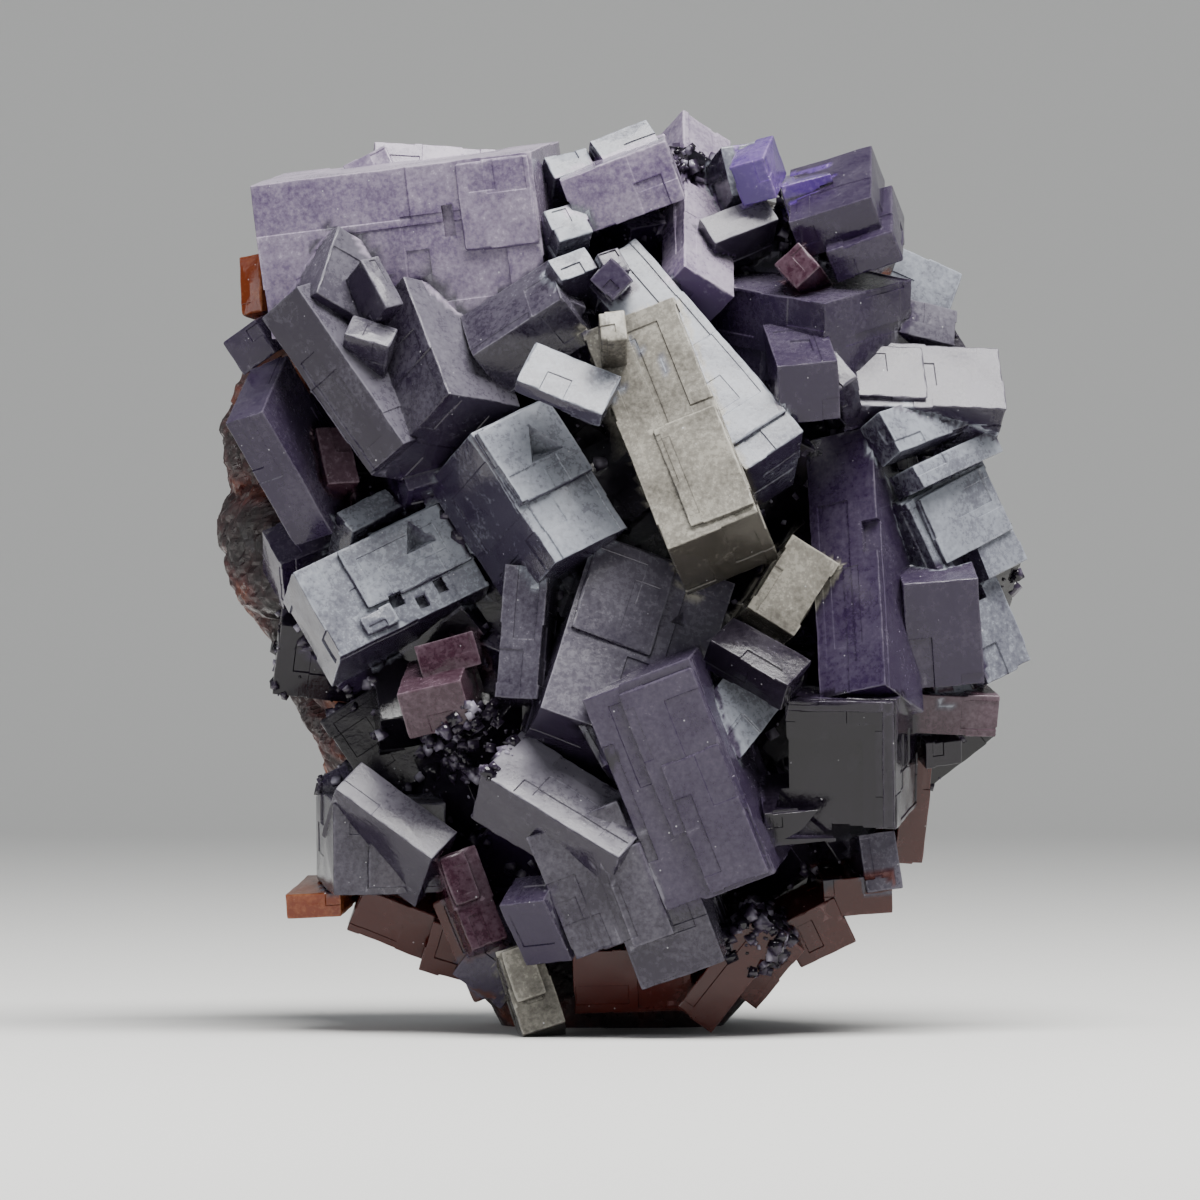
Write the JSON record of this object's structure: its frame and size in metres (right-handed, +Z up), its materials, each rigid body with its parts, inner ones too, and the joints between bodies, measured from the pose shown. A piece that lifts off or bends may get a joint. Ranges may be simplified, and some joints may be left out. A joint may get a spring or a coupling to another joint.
{
  "type": "fluorite on matrix specimen",
  "caption": "Cabinet mineral specimen: intergrown violet fluorite cubes with stepped plates and pits on a dark rusty rock matrix, standing on the rock's flat foot.",
  "frame": {"origin": "middle of the underside of the whole specimen's box, on the surface it stands on", "axes": "+Z up along the specimen's tallest direction, front with the crystals towards -Y, +X to the right seen from the front"},
  "size_m": [0.0986, 0.07, 0.1112],
  "materials": {
    "violet_fluorite": "frosted to glossy cube faces over violet translucent crystal",
    "rusty_rock": "rough black and rust brown rock with small glints"
  },
  "bodies": {
    "root": {"fluorite_crust": "violet_fluorite", "matrix": "rusty_rock"}
  },
  "joints": []
}
